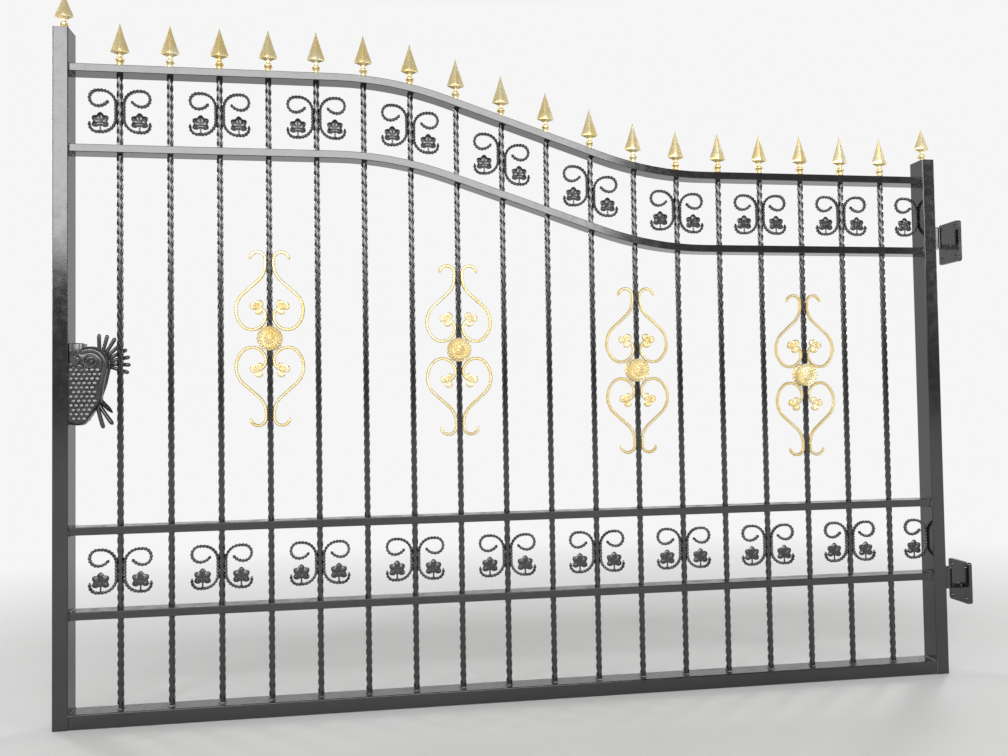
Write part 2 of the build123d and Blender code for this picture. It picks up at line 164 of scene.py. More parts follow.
def buildPaintSkin(look):
    # slow colour drift, smears that the gloss follows, and the fine waviness of sprayed paint
    group, given, out = newGroup("paintSkin", {"Drift Scale": 3.0, "Peel Scale": 260.0},
                                 ("Drift", "Smears", "Height"))
    drift = noiseField(group, given.outputs["Drift Scale"], look["driftDetail"])
    smears = noiseField(group, look["smearScale"], look["smearDetail"])
    peel = noiseField(group, given.outputs["Peel Scale"], look["peelDetail"])
    group.links.new(rescale(group, drift, *look["drift"]), out.inputs["Drift"])
    group.links.new(rescale(group, smears, *look["smears"]), out.inputs["Smears"])
    group.links.new(peel, out.inputs["Height"])
    return group


def buildHammerMarks(look):
    # shallow round dents, as on forged and cast pieces, and a mask of fine pits
    group, given, out = newGroup("hammerMarks", {"Scale": 140.0}, ("Height", "Pits"))
    place = addNode(group, "ShaderNodeTexCoord").outputs["Object"]
    dents = addNode(group, "ShaderNodeTexVoronoi", {"feature": "SMOOTH_F1"},
                    {"Vector": place, "Scale": given.outputs["Scale"]})
    grain = noiseField(group, look["pitScale"], look["pitDetail"])
    group.links.new(dents.outputs["Distance"], out.inputs["Height"])
    group.links.new(rescale(group, grain, *look["pits"]), out.inputs["Pits"])
    return group


ledgeDust = buildLedgeDust(effectLook)
edgeWear = buildEdgeWear(effectLook)
paintSkin = buildPaintSkin(effectLook)
hammerMarks = buildHammerMarks(effectLook)


# Finishes

def placeGroup(tree, group, values):
    return addNode(tree, "ShaderNodeGroup", {"node_tree": group}, values)


def newMaterial(name):
    material = bpy.data.materials.new(name)
    material.use_nodes = True
    tree = material.node_tree
    return material, tree, tree.nodes["Principled BSDF"]


def glossAndRelief(tree, shader, look, smears, dulling, height):
    # the roughness follows the smears and rises under each (mask, amount), and the height gives the relief
    gloss = rescale(tree, smears, 0.0, 1.0, *look["roughness"])
    for mask, amount in dulling:
        gloss = combine(tree, "ADD", gloss, multiply(tree, mask, amount))
    tree.links.new(gloss, shader.inputs["Roughness"])
    bump = addNode(tree, "ShaderNodeBump", values={"Height": height, "Distance": look["reliefDepth"]})
    tree.links.new(bump.outputs["Normal"], shader.inputs["Normal"])


blackEnamelLook = {
    "colour": (0.0060, 0.0062, 0.0068),
    "paleColour": (0.013, 0.013, 0.014),
    "dustColour": (0.19, 0.175, 0.15),
    "wearColour": (0.16, 0.155, 0.15),
    "skin": {"Drift Scale": 2.5, "Peel Scale": 320.0},
    "dust": {"Scale": 28.0, "Amount": 0.5},
    "wear": {"Width": 0.0012, "Scale": 45.0, "Amount": 0.5},
    "roughness": (0.12, 0.19),
    "dustDulling": 0.5,
    "wearDulling": 0.2,
    "reliefDepth": 0.00003,
    "shine": 0.9,
}


def makeBlackEnamel(look):
    material, tree, shader = newMaterial("blackEnamel")
    skin = placeGroup(tree, paintSkin, look["skin"])
    dust = placeGroup(tree, ledgeDust, look["dust"]).outputs["Mask"]
    wear = placeGroup(tree, edgeWear, look["wear"]).outputs["Mask"]
    paint = mixColours(tree, skin.outputs["Drift"], look["colour"], look["paleColour"])
    dusty = mixColours(tree, dust, paint, look["dustColour"])
    tree.links.new(mixColours(tree, wear, dusty, look["wearColour"]), shader.inputs["Base Color"])
    dulling = ((dust, look["dustDulling"]), (wear, look["wearDulling"]))
    glossAndRelief(tree, shader, look, skin.outputs["Smears"], dulling, skin.outputs["Height"])
    shader.inputs["Specular IOR Level"].default_value = look["shine"]
    return material


blackCastLook = {
    "colour": (0.012, 0.012, 0.013),
    "paleColour": (0.030, 0.029, 0.030),
    "dustColour": (0.17, 0.155, 0.13),
    "pitColour": (0.06, 0.055, 0.05),
    "skin": {"Drift Scale": 9.0},
    "dents": {"Scale": 210.0},
    "dust": {"Scale": 70.0, "Amount": 0.45},
    "pitAmount": 0.6,
    "roughness": (0.18, 0.32),
    "dustDulling": 0.5,
    "reliefDepth": 0.00020,
    "shine": 0.9,
}


def makeBlackCast(look):
    material, tree, shader = newMaterial("blackCastIron")
    skin = placeGroup(tree, paintSkin, look["skin"])
    dents = placeGroup(tree, hammerMarks, look["dents"])
    dust = placeGroup(tree, ledgeDust, look["dust"]).outputs["Mask"]
    paint = mixColours(tree, skin.outputs["Drift"], look["colour"], look["paleColour"])
    pits = multiply(tree, dents.outputs["Pits"], look["pitAmount"])
    pitted = mixColours(tree, pits, paint, look["pitColour"])
    tree.links.new(mixColours(tree, dust, pitted, look["dustColour"]), shader.inputs["Base Color"])
    dulling = ((dust, look["dustDulling"]),)
    glossAndRelief(tree, shader, look, skin.outputs["Smears"], dulling, dents.outputs["Height"])
    shader.inputs["Specular IOR Level"].default_value = look["shine"]
    return material


goldPaintLook = {
    "colour": (0.93, 0.71, 0.29),
    "deepColour": (0.68, 0.46, 0.15),
    "paleColour": (0.99, 0.91, 0.62),
    "speckColour": (0.10, 0.06, 0.02),
    "dustColour": (0.42, 0.34, 0.20),
    "skin": {"Drift Scale": 14.0},
    "dents": {"Scale": 210.0},
    "dust": {"Scale": 90.0, "Amount": 0.3},
    "smearAmount": 0.55,
    "speckAmount": 0.5,
    "metallic": 0.6,
    "roughness": (0.27, 0.42),
    "dustDulling": 0.3,
    "reliefDepth": 0.00005,
}


def makeGoldPaint(look):
    material, tree, shader = newMaterial("goldPaint")
    skin = placeGroup(tree, paintSkin, look["skin"])
    dents = placeGroup(tree, hammerMarks, look["dents"])
    dust = placeGroup(tree, ledgeDust, look["dust"]).outputs["Mask"]
    warm = mixColours(tree, skin.outputs["Drift"], look["colour"], look["paleColour"])
    smears = multiply(tree, skin.outputs["Smears"], look["smearAmount"])
    smeared = mixColours(tree, smears, warm, look["deepColour"])
    specks = multiply(tree, dents.outputs["Pits"], look["speckAmount"])
    specked = mixColours(tree, specks, smeared, look["speckColour"])
    tree.links.new(mixColours(tree, dust, specked, look["dustColour"]), shader.inputs["Base Color"])
    dulling = ((dust, look["dustDulling"]),)
    glossAndRelief(tree, shader, look, skin.outputs["Smears"], dulling, dents.outputs["Height"])
    shader.inputs["Metallic"].default_value = look["metallic"]
    return material


blackEnamel = makeBlackEnamel(blackEnamelLook)
blackCastIron = makeBlackCast(blackCastLook)
goldPaint = makeGoldPaint(goldPaintLook)
print("finishes made")


# Modelling helpers: a section is drawn flat, then extruded from place to place

def sweepSection(bm, places):
    # pushes the bmesh's only face through the places; each is a matrix from the section to the world
    bmesh.ops.transform(bm, matrix=places[0], verts=bm.verts)
    endFace = bm.faces[:][0]
    for before, after in zip(places, places[1:]):
        # with its edges and corners given too, the old end face doesn't stay behind inside
        moved = [endFace] + endFace.edges[:] + endFace.verts[:]
        made = bmesh.ops.extrude_face_region(bm, geom=moved)["geom"]
        endFace = [part for part in made if isinstance(part, bmesh.types.BMFace)][0]
        ring = [part for part in made if isinstance(part, bmesh.types.BMVert)]
        bmesh.ops.transform(bm, matrix=after @ before.inverted(), verts=ring)
    bmesh.ops.recalc_face_normals(bm, faces=bm.faces)
    return bm


def boxSection(width, depth, corner):
    bm = bmesh.new()
    corners = bmesh.ops.create_grid(bm, x_segments=1, y_segments=1, size=0.5)["verts"]
    bmesh.ops.scale(bm, vec=(width, depth, 1), verts=corners)
    bmesh.ops.bevel(bm, geom=corners, offset=corner, affect="VERTICES", segments=1, profile=0.5, material=-1)
    return bm


def roundSection(radius, sides):
    bm = bmesh.new()
    bmesh.ops.create_circle(bm, cap_ends=True, segments=sides, radius=radius)
    return bm


def pathPlaces(start, heading, moves, spacing, girth=None):
    # walks in the gate's plane: (length,) goes ahead, (radius, turn) bends, left is positive
    x, z = start
    turned = math.radians(heading)
    stations = [(x, z, turned)]
    for move in moves:
        if len(move) == 1:
            count = max(1, round(move[0] / spacing))
            step, bend = move[0] / count, 0.0
        else:
            radius, turn = move
            sweep = math.radians(turn)
            count = max(2, round(radius * abs(sweep) / spacing))
            step, bend = 2.0 * radius * math.sin(abs(sweep) / count / 2.0), sweep / count
        for _ in range(count):
            x += step * math.cos(turned + bend / 2.0)
            z += step * math.sin(turned + bend / 2.0)
            turned += bend
            stations.append((x, z, turned))
    places = []
    for number, (x, z, turned) in enumerate(stations):
        across, ahead = -math.sin(turned), math.cos(turned)
        rows = ((across, 0, ahead, x), (0, -1, 0, 0), (ahead, 0, -across, z), (0, 0, 0, 1))
        wide, deep = girth(number, len(stations)) if girth else (1.0, 1.0)
        places.append(Matrix(rows) @ Matrix.Diagonal((wide, deep, 1.0, 1.0)))
    return places


def risePlaces(levels):
    # one place for each (height, size, twist) up the Z axis
    places = []
    for height, size, twist in levels:
        turn = Matrix.Rotation(math.radians(twist), 4, "Z")
        places.append(Matrix.Translation((0, 0, height)) @ turn @ Matrix.Diagonal((size, size, 1.0, 1.0)))
    return places


def scaled(outline, high, wide, lift=0.0):
    # an outline given in shares of a height and a width, as untwisted levels
    return [(lift + share * high, size * wide, 0.0) for share, size in outline]


def rippledGirth(look):
    # the girth of a bar with knots or rope marks along it, and rounded ends
    def girth(number, count):
        ends = min(1.0, (number + look["endStart"]) / look["endSteps"], (count - number) / look["endSteps"])
        wave = math.cos(2.0 * math.pi * number * look["spacing"] / look["markPitch"]) - look["markSink"]
        size = (1.0 + look["markRise"] * wave) * math.sqrt(ends)
        return size, size
    return girth


def at(x, y, z):
    return Matrix.Translation((x, y, z))


def facing(side):
    # leaves a pattern that looks towards -Y as it is for -1, and mirrors it to the back for 1
    return Matrix.Diagonal((1, -side, 1, 1))


mirrorX = Matrix.Diagonal((-1, 1, 1, 1))
mirrorZ = Matrix.Diagonal((1, 1, -1, 1))
standUp = Matrix.Rotation(math.radians(90), 4, "X")


def stamp(target, pattern, place):
    # copies a pattern into the target bmesh
    copy = pattern.copy()
    bmesh.ops.transform(copy, matrix=place, verts=copy.verts)
    if place.determinant() < 0:
        bmesh.ops.reverse_faces(copy, faces=copy.faces)
    mesh = bpy.data.meshes.new("stamp")
    copy.to_mesh(mesh)
    copy.free()
    target.from_mesh(mesh)
    bpy.data.meshes.remove(mesh)


def finishPiece(name, bm, material, body="leaf", nodes=(), sharpAngle=38):
    mesh = bpy.data.meshes.new(name)
    bm.to_mesh(mesh)
    bm.free()
    mesh.shade_smooth()
    mesh.set_sharp_from_angle(angle=math.radians(sharpAngle))
    mesh.materials.append(material)
    piece = bpy.data.objects.new(name, mesh)
    bpy.context.scene.collection.objects.link(piece)
    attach(piece, body)
    if nodes:
        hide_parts(*nodes)
    return piece


# Places read from the frame

latchLow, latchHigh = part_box("latch_stile")
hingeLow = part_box("hinge_stile")[0]
pickets = ["picket_%02d" % number for number in range(1, 19)]
picketBoxes = [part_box(name) for name in pickets]
picketX = [(low.x + high.x) / 2.0 for low, high in picketBoxes]


def railFace(node, x, fromAbove):
    # height of a rail's top or bottom face at a place along the leaf
    low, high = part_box(node)
    clear = 0.1
    origin = Vector((x, 0.0, high.z + clear if fromAbove else low.z - clear))
    _, point, _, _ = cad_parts[node].ray_cast(origin, Vector((0, 0, -1 if fromAbove else 1)))
    return point.z


# Pickets: square bars twisted over their whole length

picketLook = {
    "size": 0.0127,
    "corner": 0.0011,
    "quarterTurn": 0.024,
    "stepsPerQuarter": 6,
}


def twistedBar(look, low, high):
    bm = boxSection(look["size"], look["size"], look["corner"])
    rise = look["quarterTurn"] / look["stepsPerQuarter"]
    length = high.z - low.z
    levels = []
    for step in range(math.ceil(length / rise) + 1):
        levels.append((min(step * rise, length), 1.0, 90.0 * step / look["stepsPerQuarter"]))
    sweepSection(bm, risePlaces(levels))
    middle = (low + high) / 2.0
    bmesh.ops.translate(bm, vec=(middle.x, middle.y, low.z), verts=bm.verts)
    return bm


for node, (low, high) in zip(pickets, picketBoxes):
    bar = twistedBar(picketLook, low, high)
    finishPiece(node.replace("picket", "twisted_bar"), bar, blackEnamel, nodes=[node], sharpAngle=50)
print("pickets twisted")


# Spear heads

spearLook = {
    "total": 0.114,
    "base": 0.029,
    "flare": 0.009,
    "headWidth": 0.048,
    "headDepth": 0.025,
    "sleeveRadius": 0.0092,
    "collarRadius": 0.0115,
    "neckRadius": 0.0066,
    # up the base: share of its height, which radius, share of that radius
    "baseOutline": (
        (0.0, "sleeveRadius", 0.9), (0.07, "sleeveRadius", 1.0), (0.30, "sleeveRadius", 1.0),
        (0.38, "sleeveRadius", 0.86), (0.44, "sleeveRadius", 0.8), (0.475, "sleeveRadius", 0.78),
        (0.485, "collarRadius", 0.9), (0.53, "collarRadius", 1.0), (0.62, "collarRadius", 1.0),
        (0.665, "collarRadius", 0.9), (0.675, "neckRadius", 1.15), (0.76, "neckRadius", 1.0),
        (0.88, "neckRadius", 0.94), (1.02, "neckRadius", 1.0)),
    # up the flare: share of its height, then width and depth as shares of the neck's, then of the head's
    "neckOutline": ((0.0, 1.0, 1.0), (0.3, 1.35, 1.1)),
    "flareOutline": ((0.65, 0.68, 0.82), (0.92, 0.97, 0.98), (1.1, 1.0, 1.0)),
    "pointShares": (0.1, 0.22, 0.36, 0.5, 0.64, 0.78, 0.9, 1.0),
    "hollow": 1.12,
    "tip": 0.0007,
    "ridge": 0.0006,
    "sides": 20,
}


def spearBase(look):
    # sleeve, collar and neck, turned round one axis
    levels = [(look["base"] * share, look[part] * size, 0.0) for share, part, size in look["baseOutline"]]
    return sweepSection(roundSection(1.0, look["sides"]), risePlaces(levels))


def spearPoint(look, length):
    # a four-sided point with a rhomb for its section and slightly hollow sides
    half, thick = look["headWidth"] / 2.0, look["headDepth"] / 2.0
    neck, flare, tip = look["neckRadius"], look["flare"], look["tip"]
    profile = [(flare * share, neck * wide, neck * deep) for share, wide, deep in look["neckOutline"]]
    profile += [(flare * share, half * wide, thick * deep) for share, wide, deep in look["flareOutline"]]
    for share in look["pointShares"]:
        left = (1.0 - share) ** look["hollow"]
        profile.append((flare + (length - flare) * share, half * left + tip, thick * left + tip))
    places = [at(0, 0, z) @ Matrix.Diagonal((wide, deep, 1, 1)) for z, wide, deep in profile]
    bm = sweepSection(roundSection(1.0, 4), places)
    # the edges that climb are the point's four ridges
    climbing = flare * 0.1
    ridges = [edge for edge in bm.edges if abs(edge.verts[0].co.z - edge.verts[1].co.z) > climbing]
    bmesh.ops.bevel(bm, geom=ridges, offset=look["ridge"], affect="EDGES", segments=2, profile=0.5,
                    material=-1, clamp_overlap=True)
    return bm


def spearHead(look, total):
    bm = spearBase(look)
    point = spearPoint(look, total - look["base"])
    stamp(bm, point, at(0, 0, look["base"]))
    point.free()
    return bm


def picketSpears(look):
    # the first spear ends where the CAD's highest does, and the others follow their pickets' tops
    pattern = spearHead(look, look["total"])
    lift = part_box("picket_spears")[1].z - look["total"] - picketBoxes[0][1].z
    bm = bmesh.new()
    for x, (_, barHigh) in zip(picketX, picketBoxes):
        stamp(bm, pattern, at(x, 0, barHigh.z + lift))
    pattern.free()
    finishPiece("spear_heads", bm, goldPaint, nodes=["picket_spears"], sharpAngle=30)


picketSpears(spearLook)
for side in ("latch", "hinge"):
    low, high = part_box(side + "_stile_spear")
    head = spearHead(spearLook, high.z - low.z)
    bmesh.ops.translate(head, vec=((low.x + high.x) / 2.0, 0, low.z), verts=head.verts)
    finishPiece(side + "_stile_spear_head", head, goldPaint, nodes=[side + "_stile_spear"], sharpAngle=30)
print("spear heads made")


# Lobed pieces: leaves, flowers and rosettes

veinLook = {
    "halfAngle": 7.0,
    "startShare": 0.08,
    "endShare": 1.15,
}


def lobedSolid(points, reach, levels, relief):
    # an outline of the given reach, swept through its levels, then embossed
    bm = roundSection(1.0, points)
    for vert in bm.verts:
        vert.co *= reach(math.atan2(vert.co.y, vert.co.x))
    sweepSection(bm, risePlaces(levels))
    for vert in bm.verts:
        vert.co.z += relief(math.atan2(vert.co.y, vert.co.x), math.hypot(vert.co.x, vert.co.y), vert.co.z)
    return bm


def leafReach(lobes, waist, spread, roundness):
    # the outline's reach from the centre: each lobe is (direction, length), and pointed where roundness is 1
    lobeFall = 0.7

    def reach(angle):
        best = waist
        for direction, length in lobes:
            away = math.degrees(angle) - direction
            away = abs((away + 180.0) % 360.0 - 180.0) / spread
            if away < 1.0:
                best = max(best, waist + (length - waist) * (1.0 - away ** roundness) ** lobeFall)
        return best
    return reach


def leafVeins(lobes, depth, size, vein):
    # each lobe is pinched up along its middle line
    def relief(angle, radius, height):
        if height <= 0.0 or radius < size * vein["startShare"]:
            return 0.0
        turns = [(math.degrees(angle) - direction + 180.0) % 360.0 - 180.0 for direction, _ in lobes]
        nearest = min(abs(turn) for turn in turns)
        fade = min(1.0, (size * vein["endShare"] - radius) / size)
        return depth * math.exp(-(nearest / vein["halfAngle"]) ** 2) * fade
    return relief


def lobedLeaf(look):
    # a veined leaf or flower with its face towards -Y
    size = look["span"] / 2.0
    reach = leafReach(look["lobes"], look["waist"], look["spread"], look["roundness"])
    veins = leafVeins(look["lobes"], look["veinDepth"], size, veinLook)
    bm = lobedSolid(look["points"], reach, scaled(look["outline"], look["thickness"], size), veins)
    bmesh.ops.transform(bm, matrix=standUp, verts=bm.verts)
    return bm


# Scroll bands

scrollLook = {
    "bar": 0.0074,
    "depth": 0.010,
    "cornerShare": 0.2,
    "width": 0.072,
    "height": 0.116,
    "shoulder": 0.036,
    "ringRadius": 0.0205,
    "curlRadius": 0.030,
    "curlTurn": 60.0,
    "hookRadius": 0.019,
    "markPitch": 0.0085,
    "markRise": 0.24,
    "markSink": 0.5,
    "spacing": 0.0021,
    "endStart": 0.5,
    "endSteps": 3.0,
    "leafPlace": 0.042,
    "leafRise": 0.027,
    "stalkRadius": 0.0022,
    "stalkSides": 8,
    "stalkStep": 0.004,
    "touchGap": 0.0002,
}

ivyLook = {
    "span": 0.050,
    "thickness": 0.004,
    "points": 80,
    "lobes": ((90, 1.0), (34, 0.97), (146, 0.97), (-28, 0.92), (208, 0.92)),
    "waist": 0.50,
    "spread": 40.0,
    "roundness": 1.25,
    "veinDepth": 0.0024,
    "outline": ((-0.5, 0.9), (-0.1, 1.0), (0.15, 0.98), (0.5, 0.86), (0.8, 0.6), (0.7, 0.3), (0.5, 0.08)),
}


def bandScroll(look):
    # spine at X = 0, open to +X, centred on Z = 0
    bar, shoulder, ring, hook = look["bar"], look["shoulder"], look["ringRadius"], look["hookRadius"]
    width, height = look["width"] - bar, look["height"] - bar
    start = (bar / 2.0 + width, -height / 2.0 + hook + bar)
    moves = [(bar,), (hook, -90.0), (width - hook - shoulder,), (shoulder, -90.0),
             (height - 2.0 * shoulder,), (shoulder, -90.0), (width - shoulder - ring,), (ring, -180.0),
             (look["curlRadius"], -look["curlTurn"])]
    bm = boxSection(bar, look["depth"], bar * look["cornerShare"])
    return sweepSection(bm, pathPlaces(start, -90.0, moves, look["spacing"], rippledGirth(look)))


def leafStalk(look):
    # from the leaf's middle down to the foot of its scroll
    bm = roundSection(look["stalkRadius"], look["stalkSides"])
    return sweepSection(bm, pathPlaces((0.0, 0.0), -90.0, [(look["leafRise"],)], look["stalkStep"]))


def scrollPattern(look):
    # a scroll with its leaf, the same on both faces
    bm = bandScroll(look)
    leaf, stalk = lobedLeaf(ivyLook), leafStalk(look)
    place = at(look["leafPlace"], 0, -look["height"] / 2.0 + look["bar"] / 2.0 + look["leafRise"])
    for side in (-1, 1):
        stamp(bm, leaf, place @ facing(side))
    stamp(bm, stalk, place)
    leaf.free()
    stalk.free()
    return bm


def scrollBand(name, node, look, lowerRail, upperRail):
    # scrolls lie back to back about the odd pickets, and the last one against the hinge stile
    pattern = scrollPattern(look)
    bm = bmesh.new()
    gap = picketLook["size"] / 2.0 + look["touchGap"]
    for bay in range(len(picketX) + 1):
        opensRight = bay % 2 == 1
        if bay == len(picketX):
            spine, opensRight = hingeLow.x, False
        elif opensRight:
            spine = picketX[bay - 1] + gap
        else:
            spine = picketX[bay] - gap
        middle = spine + look["width"] / 2.0 * (1 if opensRight else -1)
        level = (railFace(lowerRail, middle, True) + railFace(upperRail, middle, False)) / 2.0
        stamp(bm, pattern, at(spine, 0, level) @ (Matrix() if opensRight else mirrorX))
    pattern.free()
    finishPiece(name, bm, blackCastIron, nodes=[node], sharpAngle=55)


scrollBand("upper_scroll_band", "upper_scrolls", scrollLook, "lower_wave_rail", "upper_wave_rail")
scrollBand("lower_scroll_band", "lower_scrolls", scrollLook, "low_rail", "middle_rail")
print("scroll bands made")


# Gilded panels

giltLook = {
    "bar": 0.008,
    "depth": 0.009,
    "cornerShare": 0.28,
    "hookRadius": 0.020,
    "hookLevel": 0.209,
    "hookDrop": 0.012,
    "neckRadius": 0.060,
    "sweepAngle": 48.0,
    "reach": 0.0865,
    "shoulderRadius": 0.060,
    "sideRadius": 0.060,
    "footRadius": 0.032,
    "footTurn": 45.0,
    "curlRadius": 0.024,
    "curlTurn": 85.0,
    "markPitch": 0.0066,
    "markRise": 0.07,
    "markSink": 0.0,
    "spacing": 0.0022,
    "endStart": 0.6,
    "endSteps": 4.0,
    "touchGap": 0.0002,
}

trefoilLook = {
    "span": 0.041,
    "thickness": 0.006,
    "points": 84,
    "lobes": ((125, 1.0), (15, 0.95), (250, 1.0)),
    "waist": 0.34,
    "spread": 58.0,
    "roundness": 2.2,
    "veinDepth": 0.0016,
    "outline": ((0.0, 0.5), (0.2, 0.94), (0.5, 1.0), (0.8, 0.9), (0.9, 0.68), (0.55, 0.42), (0.75, 0.2),
                (0.9, 0.05)),
}


def giltScroll(look):
    # one quarter, from its hook beside the picket down into its curl
    seat = picketLook["size"] / 2.0 + look["bar"] / 2.0 + look["touchGap"]
    sweep, foot = math.radians(look["sweepAngle"]), math.radians(look["footTurn"])
    bends = (look["neckRadius"] + look["shoulderRadius"]) * (1.0 - math.cos(sweep))
    slant = (look["reach"] - seat - bends) / math.sin(sweep)
    footInset = look["sideRadius"] * (1.0 - math.cos(foot)) + look["footRadius"] * math.sin(foot)
    curlStart = look["reach"] - footInset
    start = (seat + 2.0 * look["hookRadius"], look["hookLevel"])
    moves = [(look["hookRadius"], 180.0), (look["hookDrop"],), (look["neckRadius"], look["sweepAngle"]),
             (slant,), (look["shoulderRadius"], -look["sweepAngle"]), (look["sideRadius"], -look["footTurn"]),
             (look["footRadius"], -look["footTurn"]), (curlStart - seat, -90.0),
             (look["curlRadius"], -look["curlTurn"])]
    places = pathPlaces(start, 90.0, moves, look["spacing"], rippledGirth(look))
    bm = boxSection(look["bar"], look["depth"], look["bar"] * look["cornerShare"])
    return sweepSection(bm, places), places[-1].translation


def giltPanel(name, node, look, x):
    # four quarters about the picket, with a flower on both faces at the end of each curl
    low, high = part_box(node)
    level = (low.z + high.z) / 2.0
    quarter, curlEnd = giltScroll(look)
    flower = lobedLeaf(trefoilLook)
    bm = bmesh.new()
    for acrossSide in (Matrix(), mirrorX):
        for upSide in (Matrix(), mirrorZ):
            place = at(x, 0, level) @ acrossSide @ upSide
            stamp(bm, quarter, place)
            for side in (-1, 1):
                stamp(bm, flower, at(*(place @ curlEnd)) @ facing(side) @ acrossSide)
    quarter.free()
    flower.free()
    finishPiece(name, bm, goldPaint, nodes=[node])


rosetteLook = {
    "radius": 0.033,
    "points": 160,
    "scallops": 20,
    "scallopRise": 0.045,
    "scallopFrom": 0.8,
    "beadRise": 0.16,
    "thickness": 0.008,
    "dish": ((0.0, 0.86), (0.35, 1.0), (0.7, 1.0), (0.95, 0.93), (0.85, 0.84), (0.55, 0.74), (0.45, 0.62),
             (0.55, 0.58), (0.75, 0.56)),
    "domeRadius": 0.0155,
    "domeRise": 0.005,
    "domeFoot": 0.8,
    "dome": ((0.6, 0.85), (0.9, 0.6), (1.0, 0.3), (1.0, 0.06)),
    "domeEdge": 1.1,
    "petals": 8,
    "petalRise": 0.18,
}


def rosetteFace(look):
    # a scalloped dish with a beaded rim and a petalled dome, facing -Y
    radius, scallops, dome = look["radius"], look["scallops"], look["domeRadius"]
    thick, rise = look["thickness"], look["domeRise"]
    levels = scaled(look["dish"], thick, radius)
    levels.append((thick * look["domeFoot"], dome, 0.0))
    levels += scaled(look["dome"], rise, dome, thick)

    def emboss(angle, distance, height):
        if distance > dome * look["domeEdge"]:
            return thick * look["beadRise"] * math.cos(scallops * angle) * min(1.0, distance / radius)
        outwards = math.sin(math.pi * min(1.0, distance / dome))
        return rise * look["petalRise"] * math.cos(look["petals"] * angle) * outwards

    bm = lobedSolid(look["points"], lambda angle: 1.0, levels, emboss)
    for vert in bm.verts:
        if math.hypot(vert.co.x, vert.co.y) > radius * look["scallopFrom"]:
            wave = math.cos(scallops * math.atan2(vert.co.y, vert.co.x)) - 1.0
            swell = 1.0 + look["scallopRise"] * wave / 2.0
            vert.co.x *= swell
            vert.co.y *= swell
    bmesh.ops.transform(bm, matrix=standUp, verts=bm.verts)
    return bm


def rosettePair(name, node, look):
    low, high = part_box(node)
    middle = (low + high) / 2.0
    face = rosetteFace(look)
    away = picketLook["size"] / 2.0
    bm = bmesh.new()
    for side in (-1, 1):
        stamp(bm, face, at(middle.x, side * away, middle.z) @ facing(side))
    face.free()
    finishPiece(name, bm, goldPaint, nodes=[node])


for number, picket in enumerate((4, 8, 12, 16), start=1):
    giltPanel("gilt_scrolls_%d" % number, "gilt_panel_%d" % number, giltLook, picketX[picket - 1])
    rosettePair("gilt_rosette_%d" % number, "rosette_%d" % number, rosetteLook)
print("gilded panels made")


# Fish handle: places are measured from the stile's inner face and the middle of the fish's head

